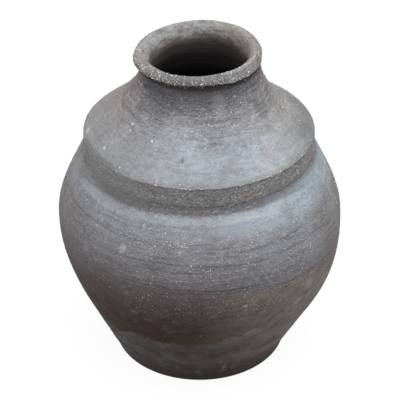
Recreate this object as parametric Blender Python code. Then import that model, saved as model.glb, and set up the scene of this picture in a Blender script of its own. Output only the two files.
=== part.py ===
"""Hand-thrown clay vase: a shouldered jar with a short flared neck and a rolled lip.

The jar is made as a potter makes a large one: sections are thrown one by one, their edges are
cut to fit, and they are luted on top of each other with slip before firing. Each section is one
object here. From the ground up they are the base disc, the lower body, the upper body, the
shoulder cap with its vertical band, the neck collar and the rim roll.

Units are metres, +Z is up, and the origin is on the ground, in the middle of the foot.
Every outline is a list of (radius, height) points in the XZ plane, spun about the Z axis.
"""

import math

import bmesh
import bpy

# Driving dimensions: overall sizes read from the jar's outline
FOOT_RADIUS = 0.0685
BELLY_RADIUS = 0.1100
BELLY_HEIGHT = 0.1150
LEDGE_RADIUS = 0.0918
LEDGE_HEIGHT = 0.1715
BAND_RADIUS = 0.0884
BAND_FOOT_HEIGHT = 0.1770
RIDGE_RADIUS = 0.0876
RIDGE_HEIGHT = 0.1933
NECK_RADIUS = 0.0455
NECK_HEIGHT = 0.2465
LIP_RADIUS = 0.0475
TOP_HEIGHT = 0.2600

# Wall thickness, and the slip-filled gap that stays between two luted sections
WALL = 0.0080
NECK_WALL = 0.0085
FLOOR = 0.0105
SLIP_GAP = 0.0003

# Smaller forms
FOOT_ROUNDING = 0.0024
DISC_EDGE_RADIUS = 0.0717
DISC_EDGE_HEIGHT = 0.0110
SEAT_DROP = 0.0020
BELLY_SEAM_RISE = 0.0030
RIDGE_ROUNDING = 0.0008
SPIGOT_HEIGHT = 0.0085
SPIGOT_THICKNESS = 0.0042
SPIGOT_DRAFT = 0.0005
NECK_SEAM_RADIUS = 0.0522
NECK_SEAM_HEIGHT = 0.2272
RIM_SEAM_HEIGHT = 0.2515
RIM_SEAM_DROP = 0.0020
LIP_ROLL_RADIUS = 0.0041
THROAT_RADIUS = 0.0370
THROAT_HEIGHT = 0.2410

# Slopes of the outline, in degrees from the horizontal, going up the wall
FOOT_SLOPE = 62.0
LEDGE_SLOPE = 117.0
DOME_SLOPE = 136.0
NECK_SEAM_SLOPE = 122.0
INNER_LEDGE_SLOPE = 110.0
INNER_SHOULDER_SLOPE = 120.0
UP = 90.0
DOWN = 270.0

# How strongly each curve of the outline is pulled along its start and its end direction
LOWER_PULLS = (0.045, 0.037)
LOWER_INNER_PULLS = (0.038, 0.045)
UPPER_PULLS = (0.016, 0.040)
UPPER_INNER_PULLS = (0.022, 0.022)
DOME_PULLS = (0.012, 0.020)
DOME_INNER_PULLS = (0.014, 0.012)
NECK_PULLS = (0.008, 0.009)
NECK_INNER_PULLS = (0.006, 0.008)

# Where the roll of the lip starts under its outer side, and where it ends inside the mouth
LIP_START = -60.0
LIP_END = 140.0

SEGMENTS = 64
SHARP_ANGLE = math.radians(32.0)


def along(point, degrees, distance):
    """The point reached from `point` after `distance` in the direction `degrees`."""
    angle = math.radians(degrees)
    return point[0] + distance * math.cos(angle), point[1] + distance * math.sin(angle)


def lifted(point, rise):
    """The same radius, `rise` higher."""
    return point[0], point[1] + rise


def curve(start, start_degrees, end, end_degrees, pulls, steps):
    """A cubic curve from start to end that leaves and arrives in the given directions."""
    first = along(start, start_degrees, pulls[0])
    second = along(end, end_degrees, -pulls[1])
    points = []
    for step in range(steps + 1):
        t = step / steps
        weights = ((1 - t) ** 3, 3 * (1 - t) ** 2 * t, 3 * (1 - t) * t**2, t**3)
        corners = (start, first, second, end)
        points.append(tuple(sum(w * c[axis] for w, c in zip(weights, corners)) for axis in (0, 1)))
    return points


def arc(centre, radius, start_degrees, end_degrees, steps):
    """Points on a circle, from one direction to the other."""
    turn = (end_degrees - start_degrees) / steps
    return [along(centre, start_degrees + turn * step, radius) for step in range(steps + 1)]


def clay(name, colour, roughness):
    """Fired, unglazed clay of one shade."""
    material = bpy.data.materials.new(name)
    material.use_nodes = True
    shader = material.node_tree.nodes["Principled BSDF"]
    shader.inputs["Base Color"].default_value = (*colour, 1.0)
    shader.inputs["Roughness"].default_value = roughness
    shader.inputs["Metallic"].default_value = 0.0
    return material


def turned(name, outline, material, closed=True):
    """One section of the jar: the outline spun a full turn about the jar's axis."""
    mesh = bpy.data.meshes.new(name)
    form = bmesh.new()
    points = [form.verts.new((radius, 0.0, height)) for radius, height in outline]
    edges = [form.edges.new(pair) for pair in zip(points, points[1:])]
    if closed:
        edges.append(form.edges.new((points[-1], points[0])))
    bmesh.ops.spin(
        form,
        geom=points + edges,
        cent=(0.0, 0.0, 0.0),
        axis=(0.0, 0.0, 1.0),
        angle=math.tau,
        steps=SEGMENTS,
        use_merge=True,
    )
    bmesh.ops.remove_doubles(form, verts=form.verts, dist=1e-6)
    bmesh.ops.recalc_face_normals(form, faces=form.faces)
    form.to_mesh(mesh)
    form.free()
    mesh.materials.append(material)
    mesh.shade_smooth()
    mesh.set_sharp_from_angle(angle=SHARP_ANGLE)
    section = bpy.data.objects.new(name, mesh)
    bpy.context.scene.collection.objects.link(section)
    section.parent = jar
    return section


def base_disc():
    """The beaten disc that the jar stands on, with a raised floor that centres the wall."""
    rounding_centre = (FOOT_RADIUS - FOOT_ROUNDING, FOOT_ROUNDING)
    floor_radius = FOOT_SEAM_IN[0] - SLIP_GAP
    outline = [(0.0, 0.0)]
    outline += arc(rounding_centre, FOOT_ROUNDING, -90.0, 0.0, steps=4)
    outline.append(lifted(FOOT_SEAM_OUT, -SLIP_GAP / 2))
    outline.append((floor_radius, FOOT_SEAM_IN[1] - SLIP_GAP / 2))
    outline.append((floor_radius, FLOOR))
    outline.append((0.0, FLOOR))
    return turned("base_disc", outline, clay("foot clay", (0.052, 0.043, 0.041), 0.90), closed=False)


def lower_body():
    """The lower bowl, from the base disc to the widest line, with a bevelled upper edge."""
    outer_start = lifted(FOOT_SEAM_OUT, SLIP_GAP / 2)
    outer_end = lifted(BELLY_SEAM_OUT, -SLIP_GAP / 2)
    inner_start = lifted(BELLY_SEAM_IN, -SLIP_GAP / 2)
    inner_end = lifted(FOOT_SEAM_IN, SLIP_GAP / 2)
    outline = curve(outer_start, FOOT_SLOPE, outer_end, UP, LOWER_PULLS, steps=10)
    outline += curve(inner_start, DOWN, inner_end, FOOT_SLOPE + 180.0, LOWER_INNER_PULLS, steps=8)
    return turned("lower_body", outline, clay("smoked clay", (0.075, 0.064, 0.062), 0.88))


def upper_body():
    """The upper bowl, from the widest line to the ledge, with a spigot that the cap fits over."""
    outer_start = lifted(BELLY_SEAM_OUT, SLIP_GAP / 2)
    inner_end = lifted(BELLY_SEAM_IN, SLIP_GAP / 2)
    seat_out = (BAND_RADIUS, BAND_FOOT_HEIGHT - SLIP_GAP / 2)
    seat_in = (SPIGOT_RADIUS, BAND_FOOT_HEIGHT - SLIP_GAP / 2)
    spigot_top = (SPIGOT_RADIUS - SPIGOT_DRAFT, BAND_FOOT_HEIGHT + SPIGOT_HEIGHT)
    outline = curve(outer_start, UP, LEDGE, LEDGE_SLOPE, UPPER_PULLS, steps=8)
    outline += [seat_out, seat_in, spigot_top]
    outline += curve(SPIGOT_IN, INNER_LEDGE_SLOPE + 180.0, inner_end, DOWN, UPPER_INNER_PULLS, steps=6)
    return turned("upper_body", outline, clay("grey clay", (0.240, 0.240, 0.255), 0.85))


def shoulder_cap():
    """The shoulder: a vertical band, a crisp ridge and a low dome, with a socket for the spigot."""
    band_foot = (BAND_RADIUS, BAND_FOOT_HEIGHT + SLIP_GAP / 2)
    socket_radius = SPIGOT_RADIUS + SLIP_GAP
    ridge_centre = (RIDGE_RADIUS - RIDGE_ROUNDING, RIDGE_HEIGHT - RIDGE_ROUNDING)
    ridge = arc(ridge_centre, RIDGE_ROUNDING, 0.0, DOME_SLOPE - 90.0, steps=3)
    dome_end = along(NECK_SEAM_OUT, NECK_SEAM_SLOPE, -SLIP_GAP / 2)
    inner_start = along(NECK_SEAM_IN, NECK_SEAM_SLOPE, -SLIP_GAP / 2)
    socket_end = (SPIGOT_IN[0], SPIGOT_IN[1] + SLIP_GAP)
    outline = [band_foot] + ridge[:-1]
    outline += curve(ridge[-1], DOME_SLOPE, dome_end, NECK_SEAM_SLOPE, DOME_PULLS, steps=8)
    going_in = NECK_SEAM_SLOPE + 180.0
    coming_out = INNER_SHOULDER_SLOPE + 180.0
    outline += curve(inner_start, going_in, socket_end, coming_out, DOME_INNER_PULLS, steps=7)
    outline.append((socket_radius - SPIGOT_DRAFT, SPIGOT_IN[1] + SLIP_GAP))
    outline.append((socket_radius, BAND_FOOT_HEIGHT + SLIP_GAP / 2))
    return turned("shoulder_cap", outline, clay("pale bloom clay", (0.390, 0.415, 0.455), 0.80))


def neck_collar():
    """The short neck: it flares down into the dome and is narrowest just under the lip."""
    outer_start = along(NECK_SEAM_OUT, NECK_SEAM_SLOPE, SLIP_GAP / 2)
    waist = (NECK_RADIUS, NECK_HEIGHT)
    throat = (THROAT_RADIUS, THROAT_HEIGHT)
    inner_end = along(NECK_SEAM_IN, NECK_SEAM_SLOPE, SLIP_GAP / 2)
    outline = curve(outer_start, NECK_SEAM_SLOPE, waist, UP, NECK_PULLS, steps=6)
    outline.append(lifted(RIM_SEAM_OUT, -SLIP_GAP / 2))
    outline.append(lifted(RIM_SEAM_IN, -SLIP_GAP / 2))
    outline += curve(throat, DOWN, inner_end, NECK_SEAM_SLOPE + 180.0, NECK_INNER_PULLS, steps=5)
    return turned("neck_collar", outline, clay("dark grey clay", (0.150, 0.143, 0.146), 0.88))


def rim_roll():
    """The lip: a coil rolled over the top of the neck, with a mouth that narrows like a funnel."""
    roll_centre = (LIP_RADIUS - LIP_ROLL_RADIUS, TOP_HEIGHT - LIP_ROLL_RADIUS)
    outline = [lifted(RIM_SEAM_OUT, SLIP_GAP / 2)]
    outline += arc(roll_centre, LIP_ROLL_RADIUS, LIP_START, LIP_END, steps=12)
    outline.append(lifted(RIM_SEAM_IN, SLIP_GAP / 2))
    return turned("rim_roll", outline, clay("lip clay", (0.230, 0.225, 0.225), 0.86))


# Seams: where the outer and the inner skin of two sections meet
FOOT_SEAM_OUT = (DISC_EDGE_RADIUS, DISC_EDGE_HEIGHT)
FOOT_SEAM_IN = (DISC_EDGE_RADIUS - WALL, DISC_EDGE_HEIGHT - SEAT_DROP)
BELLY_SEAM_OUT = (BELLY_RADIUS, BELLY_HEIGHT)
BELLY_SEAM_IN = (BELLY_RADIUS - WALL, BELLY_HEIGHT + BELLY_SEAM_RISE)
LEDGE = (LEDGE_RADIUS, LEDGE_HEIGHT)
SPIGOT_RADIUS = BAND_RADIUS - SPIGOT_THICKNESS
SPIGOT_IN = (SPIGOT_RADIUS - SPIGOT_THICKNESS, BAND_FOOT_HEIGHT + SPIGOT_HEIGHT)
NECK_SEAM_OUT = (NECK_SEAM_RADIUS, NECK_SEAM_HEIGHT)
NECK_SEAM_IN = along(NECK_SEAM_OUT, NECK_SEAM_SLOPE + 90.0, NECK_WALL)
RIM_SEAM_OUT = (LIP_RADIUS - LIP_ROLL_RADIUS / 2, RIM_SEAM_HEIGHT)
RIM_SEAM_IN = (THROAT_RADIUS + SEAT_DROP / 4, RIM_SEAM_HEIGHT - RIM_SEAM_DROP)

for old in list(bpy.data.objects):
    bpy.data.objects.remove(old, do_unlink=True)

jar = bpy.data.objects.new("jar", None)
bpy.context.scene.collection.objects.link(jar)

for make in (base_disc, lower_body, upper_body, shoulder_cap, neck_collar, rim_roll):
    made = make()
    print(made.name, "faces:", len(made.data.polygons))
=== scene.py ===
# %% [markdown]
# # A hand-thrown clay vase
#
# The vase is dark, unglazed, coarse clay. A potter throws it in six sections and lutes them together with
# slip: base disc, lower body, upper body, shoulder cap, neck collar and rolled lip. The imported model holds
# those six sections as plain true rounds. This lesson throws each one again with the marks that a hand, a
# rib and a smoky fire leave on it: throwing rings, creases, a leaning lip, sand grains and soot. On top of
# these it paints a bluish sheen, glints, light and shade into the clay's colour.
#
# We start by loading the imported model, because every size below is read from it or set beside it.

# %% Load the frame
import math
import random
from collections import namedtuple

import bmesh
import bpy
from mathutils import Matrix, Vector, noise


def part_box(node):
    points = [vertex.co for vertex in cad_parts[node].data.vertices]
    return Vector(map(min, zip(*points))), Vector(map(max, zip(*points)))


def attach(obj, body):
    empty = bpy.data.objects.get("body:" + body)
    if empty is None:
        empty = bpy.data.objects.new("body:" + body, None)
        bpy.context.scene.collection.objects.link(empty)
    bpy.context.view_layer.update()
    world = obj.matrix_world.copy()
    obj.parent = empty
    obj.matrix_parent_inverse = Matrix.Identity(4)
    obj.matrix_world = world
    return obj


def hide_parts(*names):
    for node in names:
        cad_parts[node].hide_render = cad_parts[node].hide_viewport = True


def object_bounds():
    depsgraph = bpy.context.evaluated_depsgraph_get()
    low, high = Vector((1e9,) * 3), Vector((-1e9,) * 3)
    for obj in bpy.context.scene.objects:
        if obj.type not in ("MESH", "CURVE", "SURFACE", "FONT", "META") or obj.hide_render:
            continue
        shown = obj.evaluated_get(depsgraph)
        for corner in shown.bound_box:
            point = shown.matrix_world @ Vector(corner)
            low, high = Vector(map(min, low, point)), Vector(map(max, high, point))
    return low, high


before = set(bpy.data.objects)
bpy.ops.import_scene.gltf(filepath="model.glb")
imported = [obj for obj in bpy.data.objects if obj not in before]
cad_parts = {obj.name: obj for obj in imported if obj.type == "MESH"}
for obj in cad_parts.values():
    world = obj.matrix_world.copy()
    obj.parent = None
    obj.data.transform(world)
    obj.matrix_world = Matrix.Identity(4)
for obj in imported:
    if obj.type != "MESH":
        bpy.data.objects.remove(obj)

cad_low, cad_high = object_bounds()
print("sections:", sorted(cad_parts))
print("height of the solids in mm:", round((cad_high.z - cad_low.z) * 1000, 1))

# %% [markdown]
# ## The camera
#
# The picture was taken with a long lens, from about a third of the way up to straight above. We could guess
# the view by eye, but an ellipse gives it away: the shoulder ridge and the lip are circles, and how flat
# they look fixes the camera's height. The lens and the distance then follow from how fast circles shrink
# with distance. The small roll is the tilt of the hand that held the camera.

# %% Camera
CAMERA_ELEVATION = math.radians(33.5)
CAMERA_ROLL = math.radians(-0.3)
CAMERA_DISTANCE = 1.251
CAMERA_TARGET = Vector((0.00055, 0.0, 0.12605))
LENS_MM = 144.0
SENSOR_MM = 36.0

camera_data = bpy.data.cameras.new("camera")
camera_data.lens = LENS_MM
camera_data.sensor_width = SENSOR_MM
camera = bpy.data.objects.new("camera", camera_data)
bpy.context.scene.collection.objects.link(camera)
towards_camera = Vector((0.0, -math.cos(CAMERA_ELEVATION), math.sin(CAMERA_ELEVATION)))
looking_down = Matrix.Rotation(math.pi / 2 - CAMERA_ELEVATION, 4, "X")
rolled = Matrix.Rotation(CAMERA_ROLL, 4, "Z")
camera.matrix_world = (
    Matrix.Translation(CAMERA_TARGET + towards_camera * CAMERA_DISTANCE) @ looking_down @ rolled
)
bpy.context.scene.camera = camera
bpy.context.scene.view_settings.view_transform = "Standard"
print("camera at", [round(value, 3) for value in camera.matrix_world.translation])

# %% [markdown]
# ## Shader maths as Python
#
# A finish is a tree of nodes. Drawing it by hand takes long, and a list of node calls is hard to read. So
# one small class wraps an output socket: plus, minus and times on it add Math nodes, and its method `node`
# adds any other node. A finish then reads like a formula.

# %% The Wire class
class Wire:
    """An output socket that can be used in sums, and from which further nodes are made."""

    def __init__(self, tree, socket=None):
        self.tree = tree
        self.socket = socket

    def node(self, kind, settings=None, inputs=None, output=None):
        """Adds a node, sets it up, feeds its inputs and returns one of its outputs."""
        made = self.tree.nodes.new(kind)
        for key, value in (settings or {}).items():
            if key == "stops":
                for _ in range(len(value) - len(made.color_ramp.elements)):
                    made.color_ramp.elements.new(1.0)
                for element, (position, colour) in zip(made.color_ramp.elements, value):
                    element.position = position
                    element.color = (*colour, 1.0)
            else:
                setattr(made, key, value)
        open_inputs = [socket for socket in made.inputs if socket.enabled]
        for key, value in (inputs or {}).items():
            if isinstance(key, int):
                socket = open_inputs[key]
            else:
                socket = next(socket for socket in open_inputs if socket.name == key)
            if isinstance(value, Wire):
                self.tree.links.new(value.socket, socket)
            else:
                socket.default_value = value
        open_outputs = [socket for socket in made.outputs if socket.enabled]
        chosen = [socket for socket in open_outputs if output in (None, socket.name)]
        return Wire(self.tree, chosen[0] if chosen else None)

    def also(self, output):
        """Another output of the node that this wire comes from."""
        return Wire(self.tree, self.socket.node.outputs[output])

    def math(self, operation, first, second):
        """One Math node on two values or wires."""
        return self.node("ShaderNodeMath", {"operation": operation}, {0: first, 1: second})

    def __add__(self, other):
        return self.math("ADD", self, other)

    def __radd__(self, other):
        return self.math("ADD", other, self)

    def __sub__(self, other):
        return self.math("SUBTRACT", self, other)

    def __rsub__(self, other):
        return self.math("SUBTRACT", other, self)

    def __mul__(self, other):
        return self.math("MULTIPLY", self, other)

    def __rmul__(self, other):
        return self.math("MULTIPLY", other, self)

    def __gt__(self, other):
        return self.math("GREATER_THAN", self, other)


print("operators on a wire: + - * >")

# %% [markdown]
# ## Small recipes
#
# A few shapes come back in every finish: a soft step, a mix of two colours, cloudy noise, noise drawn out
# into lines that waver or run aslant, and scattered specks. Each is one short function here. `step` is the
# useful one: it turns any number, such as a height, into a mask that goes smoothly from 0 to 1.

# %% Masks and colours
def step(value, low, high):
    """0 below low, 1 above high and smooth between. With low above high it runs the other way."""
    return value.node(
        "ShaderNodeMapRange",
        {"interpolation_type": "SMOOTHSTEP"},
        {"Value": value, "From Min": low, "From Max": high},
    )


def mixed(factor, first, second):
    """From the first colour to the second as the factor goes from 0 to 1."""
    return factor.node(
        "ShaderNodeMix",
        {"data_type": "RGBA", "clamp_factor": True},
        {"Factor": factor, "A": first, "B": second},
    )


def tinted(colour, value):
    """A colour made lighter or darker by a value near 1."""
    grey = value.node("ShaderNodeCombineColor", {}, {"Red": value, "Green": value, "Blue": value})
    return value.node(
        "ShaderNodeMix",
        {"data_type": "RGBA", "blend_type": "MULTIPLY"},
        {"Factor": 1.0, "A": colour, "B": grey},
    )


print("recipes: step, mixed, tinted")

# %% Noise and sand
def stretched(place, across, up):
    """Object coordinates scaled by one number across and by another up, to draw noise into lines."""
    return place.node(
        "ShaderNodeVectorMath",
        {"operation": "MULTIPLY"},
        {0: place, 1: (across, across, up)},
    )


def clouds(place, size, detail=2.0, roughness=0.5):
    """Noise from 0 to 1 whose patches are about `size` metres wide."""
    return place.node(
        "ShaderNodeTexNoise",
        {},
        {"Vector": place, "Scale": 1.0 / size, "Detail": detail, "Roughness": roughness},
        "Fac",
    )


def tilted(place, degrees):
    """Object coordinates turned about the line of sight, for strokes that run aslant."""
    turned = {"Vector": place, "Rotation": (0.0, math.radians(degrees), 0.0)}
    return place.node("ShaderNodeMapping", {}, turned)


def wavering(place, size, reach):
    """Object coordinates that bob up and down by up to `reach`, for lines drawn by hand."""
    bob = (clouds(place, size, 1.0) - 0.5) * (2.0 * reach)
    lift = place.node("ShaderNodeCombineXYZ", {}, {"Z": bob})
    return place.node("ShaderNodeVectorMath", {"operation": "ADD"}, {0: place, 1: lift})


def sand(place, spacing, radius, share):
    """Grains of mixed size in a share of the cells of a pattern. Gives their mask and a tint for each."""
    distance = place.node("ShaderNodeTexVoronoi", {}, {"Vector": place, "Scale": 1.0 / spacing}, "Distance")
    ticket = place.node("ShaderNodeSeparateColor", {}, {"Color": distance.also("Color")}, "Red")
    reach = (ticket.also("Green") * 0.9 + 0.45) * (radius / spacing)
    mask = step(distance, reach, reach * 0.5) * (ticket > 1.0 - share)
    return mask, ticket.also("Blue")


print("more recipes: stretched, clouds, tilted, wavering, sand")

# %% [markdown]
# ## Floor and light
#
# The studio is a white sheet under a large soft lamp, a little to the right, with a cool glow all round.
# A plain white sheet would also throw much light up at the lower belly, which has to stay dark. So the sheet
# is white to the camera and to reflections, and dark and warm to the light that bounces off it. The vase
# keeps its faint shadow on the sheet, which lies a hair below the foot, because two faces in one plane
# would flicker.

# %% The white sheet
FLOOR_SIZE = 8.0
FLOOR_GAP = 0.0003
SHEET_WHITE = (0.12, 0.12, 0.12, 1.0)
SHEET_GLOW = 0.93
BOUNCE_COLOUR = (0.16, 0.13, 0.11, 1.0)


def seen_directly(tree):
    """1 for light paths that show the stage itself: straight, mirrored or through glass."""
    start = Wire(tree)
    camera_ray = start.node("ShaderNodeLightPath", output="Is Camera Ray")
    mirrored = start.node("ShaderNodeLightPath", output="Is Glossy Ray")
    through = start.node("ShaderNodeLightPath", output="Is Transmission Ray")
    return start.math("MAXIMUM", start.math("MAXIMUM", camera_ray, mirrored), through)


def white_sheet():
    """White to the eye, dark and warm to the light that bounces."""
    material = bpy.data.materials.new("white sheet")
    material.use_nodes = True
    tree = material.node_tree
    tree.nodes.clear()
    start = Wire(tree)
    white = start.node("ShaderNodeBsdfDiffuse", {}, {"Color": SHEET_WHITE})
    glow = start.node("ShaderNodeEmission", {}, {"Strength": SHEET_GLOW})
    bright = start.node("ShaderNodeAddShader", {}, {0: white, 1: glow})
    bounced = start.node("ShaderNodeBsdfDiffuse", {}, {"Color": BOUNCE_COLOUR})
    both = start.node("ShaderNodeMixShader", {}, {0: seen_directly(tree), 1: bounced, 2: bright})
    start.node("ShaderNodeOutputMaterial", {}, {"Surface": both})
    return material


sheet_mesh = bpy.data.meshes.new("floor")
sheet_form = bmesh.new()
bmesh.ops.create_grid(sheet_form, x_segments=1, y_segments=1, size=FLOOR_SIZE / 2)
sheet_form.to_mesh(sheet_mesh)
sheet_form.free()
sheet_mesh.materials.append(white_sheet())
floor = bpy.data.objects.new("floor", sheet_mesh)
floor.location.z = -FLOOR_GAP
bpy.context.scene.collection.objects.link(floor)
print("the sheet lies", round(FLOOR_GAP * 1000, 1), "mm below the foot")

# %% Sky and lamp
ZENITH = (0.82, 0.85, 0.90, 1.0)
HORIZON = (0.30, 0.295, 0.29, 1.0)
LAMP_PLACE = Vector((0.20, -0.30, 1.70))
LAMP_SIZE = 1.3
LAMP_POWER = 14.0

world = bpy.data.worlds.new("sky")
world.use_nodes = True
bpy.context.scene.world = world
world.node_tree.nodes.clear()
sky = Wire(world.node_tree)
direction = sky.node("ShaderNodeTexCoord", output="Generated")
rise = sky.node("ShaderNodeSeparateXYZ", {}, {"Vector": direction}, "Z")
glow_colour = mixed(rise, HORIZON, ZENITH)
sky_colour = mixed(seen_directly(world.node_tree), glow_colour, (1.0, 1.0, 1.0, 1.0))
background = sky.node("ShaderNodeBackground", {}, {"Color": sky_colour})
sky.node("ShaderNodeOutputWorld", {}, {"Surface": background})

lamp_data = bpy.data.lights.new("soft lamp", "AREA")
lamp_data.size = LAMP_SIZE
lamp_data.energy = LAMP_POWER
lamp = bpy.data.objects.new("soft lamp", lamp_data)
lamp.location = LAMP_PLACE
lamp.rotation_euler = (CAMERA_TARGET - LAMP_PLACE).to_track_quat("-Z", "Y").to_euler()
bpy.context.scene.collection.objects.link(lamp)
print("lamp at", [round(value, 2) for value in LAMP_PLACE], "with", LAMP_POWER, "watts")

# %% [markdown]
# ## Outlines
#
# A thrown vase is a turned form, so each section is one outline spun round the axis. An outline could be a
# long list of points, but a potter's line is a few smooth sweeps. We write each sweep as one curve between
# two points that leaves and arrives in a given direction, and read the points off it as finely as we like.
# A point is (radius, height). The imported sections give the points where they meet.

# %% Sweeps of the outline
UP = 90.0
DOWN = 270.0


def along(point, degrees, distance):
    """The point reached from `point` after `distance` in the direction `degrees`."""
    angle = math.radians(degrees)
    return point[0] + distance * math.cos(angle), point[1] + distance * math.sin(angle)


def sweep(start, start_degrees, end, end_degrees, pulls, steps):
    """A smooth curve from start to end that leaves and arrives in the given directions."""
    corners = (start, along(start, start_degrees, pulls[0]), along(end, end_degrees, -pulls[1]), end)
    points = []
    for index in range(steps + 1):
        t = index / steps
        weights = ((1 - t) ** 3, 3 * (1 - t) ** 2 * t, 3 * (1 - t) * t**2, t**3)
        points.append(tuple(sum(w * c[axis] for w, c in zip(weights, corners)) for axis in (0, 1)))
    return points


def arc(centre, radius, start_degrees, end_degrees, steps):
    """Points on a circle, from one direction to the other."""
    turn = (end_degrees - start_degrees) / steps
    return [along(centre, start_degrees + turn * index, radius) for index in range(steps + 1)]


def line(start, end, steps):
    """Evenly spaced points from start to end."""
    shares = [index / steps for index in range(steps + 1)]
    return [tuple(a + (b - a) * share for a, b in zip(start, end)) for share in shares]


def chain(*stretches):
    """Stretches of outline joined end to end, each shared point kept once."""
    points = []
    for stretch in stretches:
        for point in stretch:
            if not points or math.dist(points[-1], point) > 1e-6:
                points.append(point)
    return points


print("stretches of an outline: sweep, arc and line, joined by chain")

# %% Where the sections meet
disc_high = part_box("base_disc")[1]
lower_low, lower_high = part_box("lower_body")
upper_low, upper_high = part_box("upper_body")
cap_low, cap_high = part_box("shoulder_cap")
neck_low, neck_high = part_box("neck_collar")
rim_low, rim_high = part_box("rim_roll")

WALL = 0.0080
HALF_GAP = 0.00015
FOOT_SEAM = (disc_high.x, disc_high.z + HALF_GAP)
FOOT_SEAM_IN = (disc_high.x - WALL, lower_low.z - HALF_GAP)
BELLY_SEAM = (lower_high.x, upper_low.z - HALF_GAP)
BELLY_SEAM_IN = (lower_high.x - WALL, lower_high.z + HALF_GAP)
BAND_FOOT = (cap_high.x, cap_low.z - HALF_GAP)
BAND_FOOT_IN = (cap_high.x - WALL, upper_high.z)
NECK_SEAM = (neck_high.x, cap_high.z)
NECK_SEAM_IN = (neck_high.x - WALL * 0.9, neck_low.z)
RIM_SEAM = (rim_high.x - 0.0023, neck_high.z + HALF_GAP)
print("seams from the foot up, in mm:")
for seam in (FOOT_SEAM, BELLY_SEAM, BAND_FOOT, NECK_SEAM, RIM_SEAM):
    print("  radius", round(seam[0] * 1000, 1), "height", round(seam[1] * 1000, 1))

# %% [markdown]
# ## The marks of the hand
#
# No thrown pot is a true round. The potter's fingers leave shallow rings, a rib or a pebble drags thin
# creases round the belly, the lip is tilted and bent, and where the shoulder was pressed onto the ledge the
# clay in front was pushed in under the band. We could paint these as bump, but then the outline would stay
# dead straight, so each mark moves the surface.
#
# A mark depends on the height and on `turn`, the angle round the vase: 0 faces the camera and plus is to the
# right. `smooth` fades a mark in, `belt` and `bell` keep it near a height, and `window` keeps it to an arc.

# %% Where a mark is
MEAN_RADIUS = 0.09


def smooth(value, low, high):
    """0 below low, 1 above high, and smooth between."""
    share = min(max((value - low) / (high - low), 0.0), 1.0)
    return share * share * (3.0 - 2.0 * share)


def belt(height, start, end):
    """1 between two heights. Each is a pair: where the change begins and where it is complete."""
    return smooth(height, *start) * (1.0 - smooth(height, *end))


def bell(value, middle, spread):
    """1 at the middle, and down to almost nothing at two spreads from it."""
    return math.exp(-(((value - middle) / spread) ** 2))


def window(turn, left, right, soft):
    """1 between two angles in degrees, fading out over `soft` degrees on both sides of each."""
    middle = (left + right) / 2
    away = abs((math.degrees(turn) - middle + 180.0) % 360.0 - 180.0)
    half = (right - left) / 2
    return 1.0 - smooth(away, half - soft, half + soft)


def wave(turn, height, size, seed=0.0):
    """Noise from about -1 to 1, seamless round the vase, with patches of one size."""
    ring = MEAN_RADIUS / size
    return noise.noise(Vector((ring * math.sin(turn) + seed, ring * math.cos(turn), height / size)))


print("a bell at none, one and two spreads:", [round(bell(away, 0.0, 1.0), 2) for away in (0.0, 1.0, 2.0)])

# %% The bent lip
# An arc is its left end, its right end and its softness in degrees. Levels are a pair of heights: where a
# change begins and where it is complete.
LIP_SAG = 0.0022
SAG_ARC = (22.0, 80.0, 12.0)
SAG_BELT = ((0.2505, 0.2543), (0.2551, 0.2592))
LIP_FOLD = 0.0015
FOLD_ARC = (-80.0, -40.0, 14.0)
LIP_THIN = 0.0010
THIN_ARC = (32.0, 64.0, 16.0)
OUTER_CREST_LEVELS = (0.2575, 0.2598)
INNER_CREST_LEVELS = (0.2500, 0.2560)
LIP_RISE = 0.0009
RISE_ARC = (115.0, 185.0, 25.0)
LIP_LEVELS = (0.2480, 0.2540)


def lip_bent(place, outward, turn, outside):
    """Where a point of the lip goes: it sags and is thin on the front right, and is thick on the left."""
    crest = smooth(place.z, *(OUTER_CREST_LEVELS if outside else INNER_CREST_LEVELS))
    sag = LIP_SAG * window(turn, *SAG_ARC) * belt(place.z, *SAG_BELT) * outside
    fold = LIP_FOLD * window(turn, *FOLD_ARC) * crest
    thin = LIP_THIN * window(turn, *THIN_ARC) * crest
    rise = LIP_RISE * window(turn, *RISE_ARC) * smooth(place.z, *LIP_LEVELS)
    return place + outward * (thin - fold) + Vector((0.0, 0.0, rise - sag))


print("the lip sags by up to", round(LIP_SAG * 1000, 1), "mm")

# %% Leaning
LIP_TILT = math.tan(math.radians(1.9))
TILT_LEVELS = (0.218, 0.248)
NECK_SHIFT = 0.0011
NECK_SHIFT_LEVELS = (0.215, 0.238)
LIP_SHIFT = -0.0023
LIP_SHIFT_LEVELS = (0.242, 0.262)
BELLY_SHIFT = 0.0023
BELLY_SHIFT_HEIGHT = 0.072
BELLY_SHIFT_SPREAD = 0.030
BELLY_SHIFT_LEVELS = (0.0, 0.015)


def leaned(place):
    """Where a point goes when the vase leans: a tilted lip, and a belly fuller on one side."""
    neck = NECK_SHIFT * smooth(place.z, *NECK_SHIFT_LEVELS)
    lip = LIP_SHIFT * smooth(place.z, *LIP_SHIFT_LEVELS)
    belly = BELLY_SHIFT * bell(place.z, BELLY_SHIFT_HEIGHT, BELLY_SHIFT_SPREAD)
    sideways = neck + lip + belly * smooth(place.z, *BELLY_SHIFT_LEVELS)
    lift = place.x * LIP_TILT * smooth(place.z, *TILT_LEVELS)
    return Vector((place.x + sideways, place.y, place.z + lift))


print("the lip's right side stands", round(2 * rim_high.x * LIP_TILT * 1000, 1), "mm above its left")

# %% Rings and creases
RING_HEIGHT = 0.00006
RING_SPACING = 0.0069
FINE_RING_HEIGHT = 0.000025
FINE_RING_SPACING = 0.0027
CREASE_WIDTH = 0.0005
CREASE_WANDER = 0.0015
CREASE_WOBBLE = 0.0008
CREASE_REACH = 0.006
CREASE_SOFTNESS = 9.0
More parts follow.
